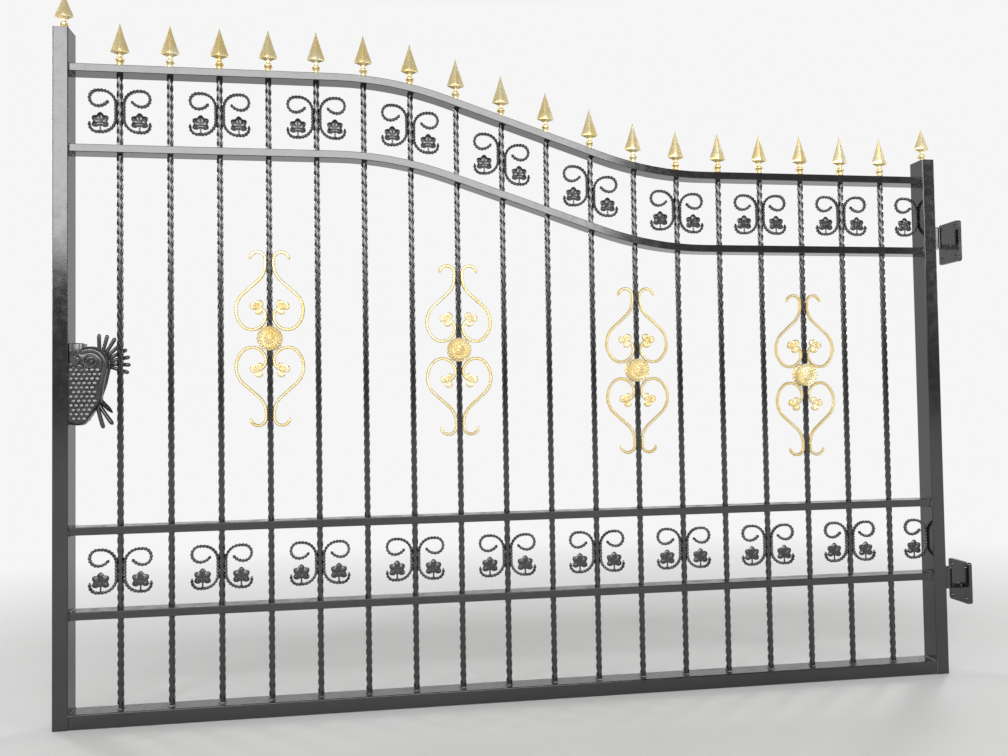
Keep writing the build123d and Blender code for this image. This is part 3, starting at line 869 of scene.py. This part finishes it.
fishLook = {
    "headLevel": 0.919,
    "middleY": -0.005,
    "halfDepth": 0.0215,
    "squareness": 4.0,
    "bodySides": 48,
    "pathStep": 0.0022,
    # the body from its foot up: height, left side, right side, fullness
    "girth": (
        (-0.1605, 0.013, 0.026, 0.35), (-0.158, 0.003, 0.034, 0.70), (-0.150, 0.0, 0.041, 0.92),
        (-0.137, 0.0, 0.050, 1.0), (-0.115, 0.0, 0.0655, 1.0), (-0.100, 0.0, 0.0740, 1.0),
        (-0.088, 0.0, 0.0755, 1.0), (-0.060, 0.0, 0.0790, 1.0), (-0.030, 0.0, 0.0850, 1.0),
        (-0.014, 0.002, 0.0880, 1.0), (-0.004, 0.010, 0.0890, 1.0), (0.010, 0.012, 0.0880, 1.0),
        (0.022, 0.018, 0.0830, 0.95), (0.032, 0.027, 0.0740, 0.85), (0.038, 0.036, 0.0650, 0.60),
        (0.0405, 0.044, 0.0570, 0.30)),
    "scaleWide": 0.0126,
    "scaleRise": 0.0113,
    "scaleRows": 12,
    "scaleTop": -0.0195,
    "scaleStagger": (0.48, 0.95),
    "scaleMargin": 0.0095,
    "tailMargin": 0.0055,
    "tailLevel": -0.1,
    "scaleTurn": 0.9,
    "turnFrom": 0.6,
    "scaleRadius": 0.0060,
    "scaleSides": 14,
    "scaleThickness": 0.0030,
    "scaleLean": 10.0,
    "scaleOutline": ((-1.0, 0.80), (0.0, 1.0), (0.25, 0.97), (0.45, 0.86), (0.56, 0.62), (0.6, 0.2)),
    "eyePlace": (0.052, 0.002),
    "eyeRadius": 0.0155,
    "eyeOut": 0.0225,
    "rimBar": 0.0030,
    "rimSides": 10,
    "rimTurn": 352.0,
    "curlBar": 0.0020,
    "curlSides": 8,
    "curlPlace": (0.009, -0.001),
    "curlHeading": 100.0,
    "curlRadius": 0.0090,
    "curlTurn": 250.0,
    "pupilPlace": 0.0035,
    "pupilSize": (0.0062, 0.0050, 0.0062),
    "blobRounds": 3,
    # lips, cheek and chin: half the width, depth and height, then the place along and up
    "muzzle": (((0.0070, 0.0060, 0.0110), (0.0225, 0.0065)), ((0.0098, 0.0070, 0.0100), (0.0275, -0.0110)),
               ((0.0060, 0.0050, 0.0060), (0.0130, -0.0140))),
    "muzzleOut": 0.94,
    # the block on the stile and the raised strip over it: width, depth and height, then the place
    "plate": (((0.0328, 0.0390, 0.0485), (0.0166, 0.0243)), ((0.0150, 0.0420, 0.0440), (0.0190, 0.0255))),
    "plateEdge": 0.0016,
    "rollStart": (0.0238, 0.0127),
    "rollHeading": 65.0,
    "rollMoves": ((0.030, -75.0), (0.036, -92.0), (0.072,), (0.022, 55.0), (0.036,)),
    "rollStep": 0.003,
    "rollOut": 0.0160,
    "rollRadius": 0.0065,
    "rollSides": 16,
    "browShare": 0.34,
    "browWide": 0.75,
    "browDeep": 0.15,
    "thinFrom": 0.6,
    "thinning": 0.14,
    "headEnd": 12.0,
    "tailEnd": 16.0,
    "endSize": 0.02,
    "inwardsFrom": 0.58,
    "inwardsOver": 0.26,
    "crestY": 0.013,
    "crestDepth": 0.0078,
    "crestRoot": (0.063, -0.002),
    "crestInner": (0.025, 91.0, -19.0),
    "crestOuter": (0.0768, 91.0, -19.0),
    "crestRays": 8,
    "crestTaper": 0.90,
    "rayWidth": 0.0106,
    "raySides": 14,
    "rayRounding": 0.88,
    "rayEnd": (0.15, 0.25),
    "tailRoot": (0.060, -0.094),
    "tailTips": ((0.101, -0.160), (0.0785, -0.1695)),
    "tailWidth": 1.1,
    "tailDepth": 0.0116,
    "tailTaper": 0.75,
    "tailBend": 8.0,
}


def blob(size, rounds):
    bm = bmesh.new()
    bmesh.ops.create_icosphere(bm, subdivisions=rounds, radius=1.0)
    bmesh.ops.scale(bm, vec=size, verts=bm.verts)
    return bm


def girthAt(look, height):
    rows = look["girth"]
    for low, high in zip(rows, rows[1:]):
        if height <= high[0]:
            share = (height - low[0]) / (high[0] - low[0])
            return [first + (second - first) * share for first, second in zip(low[1:], high[1:])]
    return rows[-1][1:]


def fishBody(look):
    # flat against the stile, with a nearly flat face and a round back edge
    bm = roundSection(1.0, look["bodySides"])
    power = 2.0 / look["squareness"]
    for vert in bm.verts:
        vert.co.x = max(0.0, vert.co.x) ** power
        if vert.co.x > 0.0:
            vert.co.y = math.copysign(abs(vert.co.y) ** power, vert.co.y)
    places = []
    for height, left, right, full in look["girth"]:
        size = Matrix.Diagonal((right - left, look["halfDepth"] * full, 1, 1))
        places.append(at(left, look["middleY"], height) @ size)
    return sweepSection(bm, places)


def fishScale(look):
    # a round plate facing -Y that leans back, its lower edge standing out
    bm = roundSection(look["scaleRadius"], look["scaleSides"])
    sweepSection(bm, risePlaces(scaled(look["scaleOutline"], look["scaleThickness"], 1.0)))
    lean = Matrix.Rotation(math.radians(-look["scaleLean"]), 4, "X")
    bmesh.ops.transform(bm, matrix=lean @ standUp, verts=bm.verts)
    return bm


def fishScales(look):
    # staggered rows on both faces, each scale turned with the body
    scale = fishScale(look)
    power = look["squareness"]
    bm = bmesh.new()
    for row in range(look["scaleRows"]):
        height = look["scaleTop"] - row * look["scaleRise"]
        left, right, full = girthAt(look, height)
        margin = look["tailMargin"] if height < look["tailLevel"] else look["scaleMargin"]
        x = look["scaleWide"] * look["scaleStagger"][row % 2]
        while x < right - margin:
            across = (x - left) / (right - left)
            bulge = look["halfDepth"] * full * (1.0 - across ** power) ** (1.0 / power)
            lean = look["scaleTurn"] * max(0.0, across - look["turnFrom"])
            for side in (-1, 1):
                turn = Matrix.Rotation(-side * lean, 4, "Z") @ facing(side)
                stamp(bm, scale, at(x, look["middleY"] + side * bulge, height) @ turn)
            x += look["scaleWide"]
    scale.free()
    return bm


def finRay(look, start, end, size, root, bend=0.0):
    # a flat ray that widens from its root, with a round end and a slight bend
    run = math.hypot(end[0] - start[0], end[1] - start[1])
    heading = math.degrees(math.atan2(end[1] - start[1], end[0] - start[0]))
    moves = [(run,)] if bend == 0.0 else [(run / math.radians(abs(bend)), bend)]
    roundFrom = look["rayRounding"]
    endWide, endDeep = look["rayEnd"]

    def taper(number, count):
        share = number / (count - 1.0)
        rounding = max(0.0, (share - roundFrom) / (1.0 - roundFrom))
        tip = math.sqrt(max(0.0, 1.0 - rounding ** 2))
        return (root + (1.0 - root) * share) * max(tip, endWide), max(tip, endDeep)

    bm = roundSection(1.0, look["raySides"])
    bmesh.ops.scale(bm, vec=(size[0] / 2.0, size[1] / 2.0, 1), verts=bm.verts)
    return sweepSection(bm, pathPlaces(start, heading - bend / 2.0, moves, look["pathStep"], taper))


def onRing(centre, ring, share):
    # a place on an arc of (radius, first angle, last angle)
    radius, first, last = ring
    turned = math.radians(first + (last - first) * share)
    return centre[0] + radius * math.cos(turned), centre[1] + radius * math.sin(turned)


def fishFins(look):
    # the crest's fan of rays and the two rays at the tail, each with its place
    fins = []
    for ray in range(look["crestRays"]):
        share = ray / (look["crestRays"] - 1.0)
        start = onRing(look["crestRoot"], look["crestInner"], share)
        end = onRing(look["crestRoot"], look["crestOuter"], share)
        size = (look["rayWidth"], look["crestDepth"])
        fins.append((finRay(look, start, end, size, look["crestTaper"]), at(0, look["crestY"], 0)))
    for tip in look["tailTips"]:
        size = (look["rayWidth"] * look["tailWidth"], look["tailDepth"])
        tail = finRay(look, look["tailRoot"], tip, size, look["tailTaper"], look["tailBend"])
        fins.append((tail, at(0, look["middleY"], 0)))
    return fins


def fishEye(look):
    # rim, inner curl and pupil on one cheek, facing -Y
    eyeX, eyeZ = look["eyePlace"]
    radius, step = look["eyeRadius"], look["pathStep"]
    rim = pathPlaces((eyeX + radius, eyeZ), 90.0, [(radius, look["rimTurn"])], step)
    bm = sweepSection(roundSection(look["rimBar"], look["rimSides"]), rim)
    start = (eyeX + look["curlPlace"][0], eyeZ + look["curlPlace"][1])
    turns = pathPlaces(start, look["curlHeading"], [(look["curlRadius"], look["curlTurn"])], step)
    curl = sweepSection(roundSection(look["curlBar"], look["curlSides"]), turns)
    pupil = blob(look["pupilSize"], look["blobRounds"])
    stamp(bm, curl, Matrix())
    stamp(bm, pupil, at(eyeX + look["pupilPlace"], 0, eyeZ))
    curl.free()
    pupil.free()
    return bm


def fishRoll(look, side):
    # a thick roll over the brow that thins down the back and runs out in the tail's upper ray
    def girth(number, count):
        share = number / (count - 1.0)
        brow = max(0.0, 1.0 - share / look["browShare"])
        thinned = max(0.0, (share - look["thinFrom"]) / (1.0 - look["thinFrom"]))
        ends = min(1.0, math.sqrt(share * look["headEnd"] + look["endSize"]),
                   math.sqrt((1.0 - share) * look["tailEnd"] + look["endSize"]))
        wide = 1.0 + look["browWide"] * brow - look["thinning"] * thinned
        return wide * ends, (1.0 + look["browDeep"] * brow) * ends

    places = pathPlaces(look["rollStart"], look["rollHeading"], look["rollMoves"], look["rollStep"], girth)
    for number, place in enumerate(places):
        share = number / (len(places) - 1.0)
        inwards = min(1.0, max(0.0, (share - look["inwardsFrom"]) / look["inwardsOver"]))
        outwards = 1.0 - inwards * inwards * (3.0 - 2.0 * inwards)
        place[1][3] = look["middleY"] + side * look["rollOut"] * outwards
    return sweepSection(roundSection(look["rollRadius"], look["rollSides"]), places)


def fishPlate(look):
    # the block that joins the brow to the stile, with a raised strip on both faces
    bm = bmesh.new()
    for size, (x, z) in look["plate"]:
        part = bmesh.new()
        bmesh.ops.create_cube(part, size=1.0)
        bmesh.ops.scale(part, vec=size, verts=part.verts)
        bmesh.ops.bevel(part, geom=part.edges[:], offset=look["plateEdge"], affect="EDGES", segments=2,
                        profile=0.5, material=-1)
        stamp(bm, part, at(x, look["middleY"], z))
        part.free()
    return bm


def fishHandle(look):
    middle = look["middleY"]
    pieces = [(fishBody(look), Matrix()), (fishScales(look), Matrix()), (fishPlate(look), Matrix())]
    eye = fishEye(look)
    for side in (-1, 1):
        pieces.append((fishRoll(look, side), Matrix()))
        pieces.append((eye.copy(), at(0, middle + side * look["eyeOut"], 0) @ facing(side)))
        for size, (x, z) in look["muzzle"]:
            place = at(x, middle + side * look["halfDepth"] * look["muzzleOut"], z)
            pieces.append((blob(size, look["blobRounds"]), place))
    eye.free()
    pieces += fishFins(look)
    place = at(latchHigh.x, 0, latchLow.z + look["headLevel"])
    bm = bmesh.new()
    for piece, own in pieces:
        stamp(bm, piece, place @ own)
        piece.free()
    finishPiece("fish_casting", bm, blackCastIron, nodes=["fish_handle"], sharpAngle=60)


fishHandle(fishLook)
print("fish handle made")


# Weld beads: rails on stiles, pickets on the bottom rail, bracket arms on plates, knuckles on their stile

weldLook = {
    "radius": 0.0024,
    "sides": 8,
    "ripple": 0.16,
    "pitch": 0.0042,
    "phaseTo": 6.28,
    "spacing": 0.0014,
    "endRise": 12.0,
    "endSize": 0.05,
    "seed": 7,
    "railInset": 0.004,
    "picketGap": 0.0006,
    "plateDepth": 0.010,
    "armHalf": 0.009,
    "armBelow": (0.018, 0.006),
    "lugHalf": 0.008,
}


def weldBead(start, end, look, chance):
    direction = end - start
    length = direction.length
    count = max(4, round(length / look["spacing"]))
    turn = direction.to_track_quat("Z", "Y").to_matrix().to_4x4()
    phase = chance.uniform(0.0, look["phaseTo"])
    places = []
    for step in range(count + 1):
        share = step / count
        size = 1.0 + look["ripple"] * math.cos(2.0 * math.pi * share * length / look["pitch"] + phase)
        size *= min(1.0, math.sqrt(min(share, 1.0 - share) * look["endRise"] + look["endSize"]))
        places.append(at(*(start + direction * share)) @ turn @ Matrix.Diagonal((size, size, 1, 1)))
    return sweepSection(roundSection(look["radius"], look["sides"]), places)


def weldLoop(bm, low, high, look, chance):
    # beads round a joint: its two corners share their X where it stands, or their Z where it lies
    (x0, y0, z0), (x1, y1, z1) = low, high
    if x0 == x1:
        corners = [(x0, y0, z0), (x0, y1, z0), (x0, y1, z1), (x0, y0, z1)]
    else:
        corners = [(x0, y0, z0), (x1, y0, z0), (x1, y1, z0), (x0, y1, z0)]
    for first, second in zip(corners, corners[1:] + corners[:1]):
        bead = weldBead(Vector(first), Vector(second), look, chance)
        stamp(bm, bead, Matrix())
        bead.free()


def welds(look):
    chance = random.Random(look["seed"])
    frameWelds = bmesh.new()
    beadReach = look["radius"] * (1.0 + look["ripple"])
    for node in ("bottom_rail", "low_rail", "middle_rail", "lower_wave_rail", "upper_wave_rail"):
        low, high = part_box(node)
        for x, side in ((low.x, 1), (high.x, -1)):
            probe = x + side * look["railInset"]
            top = railFace(node, probe, True)
            bottom = max(railFace(node, probe, False), latchLow.z + beadReach)
            weldLoop(frameWelds, (x, low.y, bottom), (x, high.y, top), look, chance)
    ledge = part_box("bottom_rail")[1].z
    reach = picketLook["size"] / 2.0 + look["picketGap"]
    for x in picketX:
        weldLoop(frameWelds, (x - reach, -reach, ledge), (x + reach, reach, ledge), look, chance)
    finishPiece("weld_beads", frameWelds, blackEnamel)

    bracketWelds = bmesh.new()
    for side in ("lower", "upper"):
        low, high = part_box("hinge_bracket_" + side)
        plateX = high.x - look["plateDepth"]
        foot, head = [(low.z + high.z) / 2.0 - below for below in look["armBelow"]]
        corners = (plateX, -look["armHalf"], foot), (plateX, look["armHalf"], head)
        weldLoop(bracketWelds, *corners, look, chance)
    finishPiece("bracket_weld_beads", bracketWelds, blackEnamel, body="wall_brackets")

    knuckleWelds = bmesh.new()
    for side in ("lower", "upper"):
        low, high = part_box("hinge_knuckle_" + side)
        corners = (low.x, -look["lugHalf"], low.z), (low.x, look["lugHalf"], high.z)
        weldLoop(knuckleWelds, *corners, look, chance)
    finishPiece("knuckle_weld_beads", knuckleWelds, blackEnamel)


welds(weldLook)
print("welds made")


# CAD nodes that stay get the black enamel

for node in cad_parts.values():
    if not node.hide_render:
        node.data.materials.clear()
        node.data.materials.append(blackEnamel)


# Floor, light and camera

studioLook = {
    "floorColour": (0.80, 0.80, 0.79),
    "floorPale": (0.85, 0.85, 0.845),
    "floorPatches": (0.35, 0.7),
    "floorPatchScale": 1.4,
    "floorPatchDetail": 5.0,
    "floorRoughness": 0.7,
    "floorReach": 40.0,
    "floorSides": 64,
    "floorGap": 0.0005,
    "whiteFrom": 0.7,
    "whiteBeyond": 2.6,
    "backdropStrength": 0.92,
    "ceiling": 0.18,
    "ceilingFrom": 0.42,
    "ceilingBy": 0.75,
    "room": 0.22,
    "roomFrom": -0.40,
    "roomTo": 0.20,
    "ambient": 0.32,
    # name, place, what it looks at, width and height, power
    "lamps": (
        ("high window", (-2.3, -6.5, 3.3), (-1.9, 0.0, 1.2), (6.4, 2.6), 360.0),
        ("left window", (-6.2, -4.2, 2.4), (-1.4, 0.0, 0.9), (0.7, 2.6), 50.0),
        ("right window", (3.6, -4.0, 2.4), (-1.0, 0.0, 0.9), (0.7, 2.6), 46.0),
        ("back left window", (-6.0, 3.8, 2.4), (-1.25, 0.0, 0.7), (0.9, 2.2), 75.0),
        ("back right window", (3.6, 3.8, 2.4), (-1.25, 0.0, 0.7), (0.9, 2.2), 75.0),
    ),
    "cameraPlace": (-1.6945, -2.3470, 0.5378),
    "cameraTurn": (91.754, 0.864, -8.269),
    "lens": 30.95,
    "sensorWidth": 36.0,
    "clipStart": 0.05,
}


def seenDirectly(tree):
    # 1 for rays that show the background: from the camera, in gloss and through glass
    light = addNode(tree, "ShaderNodeLightPath")
    shown = combine(tree, "MAXIMUM", light.outputs["Is Camera Ray"], light.outputs["Is Glossy Ray"])
    return combine(tree, "MAXIMUM", shown, light.outputs["Is Transmission Ray"])


def roomInGloss(tree, across, look):
    # gloss that faces the front shows dimmer surroundings there, and the white backdrop elsewhere
    glossy = addNode(tree, "ShaderNodeLightPath").outputs["Is Glossy Ray"]
    towardsFront = rescale(tree, across, look["roomTo"], look["roomFrom"])
    return combine(tree, "SUBTRACT", 1.0, multiply(tree, towardsFront, glossy, 1.0 - look["room"]))


def makeFloorFinish(look):
    # matt under the gate, where its shadow falls, and plain white further out
    material, tree, shader = newMaterial("studioFloor")
    noise = noiseField(tree, look["floorPatchScale"], look["floorPatchDetail"])
    patches = rescale(tree, noise, *look["floorPatches"])
    colour = mixColours(tree, patches, look["floorColour"], look["floorPale"])
    tree.links.new(colour, shader.inputs["Base Color"])
    shader.inputs["Roughness"].default_value = look["floorRoughness"]
    place = addNode(tree, "ShaderNodeTexCoord").outputs["Object"]
    split = addNode(tree, "ShaderNodeSeparateXYZ", values={"Vector": place})
    half = -cadBox[0][0] / 2.0
    fromMiddle = combine(tree, "ABSOLUTE", combine(tree, "ADD", split.outputs["X"], half), 0.0)
    sideways = combine(tree, "MAXIMUM", combine(tree, "SUBTRACT", fromMiddle, half), 0.0)
    inFront = combine(tree, "ABSOLUTE", split.outputs["Y"], 0.0)
    squares = [combine(tree, "POWER", distance, 2.0) for distance in (sideways, inFront)]
    away = combine(tree, "SQRT", combine(tree, "ADD", *squares), 0.0)
    far = rescale(tree, away, look["whiteFrom"], look["whiteBeyond"])
    glow = addNode(tree, "ShaderNodeEmission", values={"Strength": look["backdropStrength"]})
    blend = addNode(tree, "ShaderNodeMixShader", values={0: multiply(tree, far, seenDirectly(tree))})
    tree.links.new(shader.outputs["BSDF"], blend.inputs[1])
    tree.links.new(glow.outputs["Emission"], blend.inputs[2])
    tree.links.new(blend.outputs["Shader"], tree.nodes["Material Output"].inputs["Surface"])
    return material


def makeWorld(scene, look):
    # white round the gate and darker overhead
    world = bpy.data.worlds.new("studio")
    scene.world = world
    world.use_nodes = True
    tree = world.node_tree
    back = tree.nodes["Background"]
    back.inputs["Color"].default_value = (1.0, 1.0, 1.0, 1.0)
    direction = addNode(tree, "ShaderNodeTexCoord").outputs["Generated"]
    towards = addNode(tree, "ShaderNodeSeparateXYZ", values={"Vector": direction})
    sky = rescale(tree, towards.outputs["Z"], look["ceilingFrom"], look["ceilingBy"],
                  look["backdropStrength"], look["ceiling"])
    direct = seenDirectly(tree)
    shown = multiply(tree, direct, sky, roomInGloss(tree, towards.outputs["Y"], look))
    indirect = multiply(tree, combine(tree, "SUBTRACT", 1.0, direct), look["ambient"])
    tree.links.new(combine(tree, "ADD", shown, indirect), back.inputs["Strength"])


def makeFloor(scene, look):
    bm = bmesh.new()
    bmesh.ops.create_circle(bm, cap_ends=True, segments=look["floorSides"], radius=look["floorReach"])
    middle = (cadBox[0][0] / 2.0, 0, cadBox[0][2] - look["floorGap"])
    bmesh.ops.translate(bm, vec=middle, verts=bm.verts)
    mesh = bpy.data.meshes.new("studio_floor")
    bm.to_mesh(mesh)
    bm.free()
    mesh.materials.append(makeFloorFinish(look))
    floor = bpy.data.objects.new("studio_floor", mesh)
    scene.collection.objects.link(floor)


def makeLamps(scene, look):
    for name, place, target, size, power in look["lamps"]:
        lamp = bpy.data.lights.new(name, "AREA")
        lamp.shape = "RECTANGLE"
        lamp.size, lamp.size_y = size
        lamp.energy = power
        holder = bpy.data.objects.new(name, lamp)
        holder.location = place
        holder.rotation_euler = (Vector(target) - Vector(place)).to_track_quat("-Z", "Y").to_euler()
        scene.collection.objects.link(holder)


def makeCamera(scene, look):
    camera = bpy.data.cameras.new("camera")
    camera.sensor_width = look["sensorWidth"]
    camera.lens = look["lens"]
    camera.clip_start = look["clipStart"]
    holder = bpy.data.objects.new("camera", camera)
    holder.location = look["cameraPlace"]
    holder.rotation_euler = [math.radians(angle) for angle in look["cameraTurn"]]
    scene.collection.objects.link(holder)
    scene.camera = holder
    scene.view_settings.view_transform = "Standard"


studio = bpy.context.scene
makeWorld(studio, studioLook)
makeFloor(studio, studioLook)
makeLamps(studio, studioLook)
makeCamera(studio, studioLook)
print("studio ready")

bpy.context.view_layer.update()
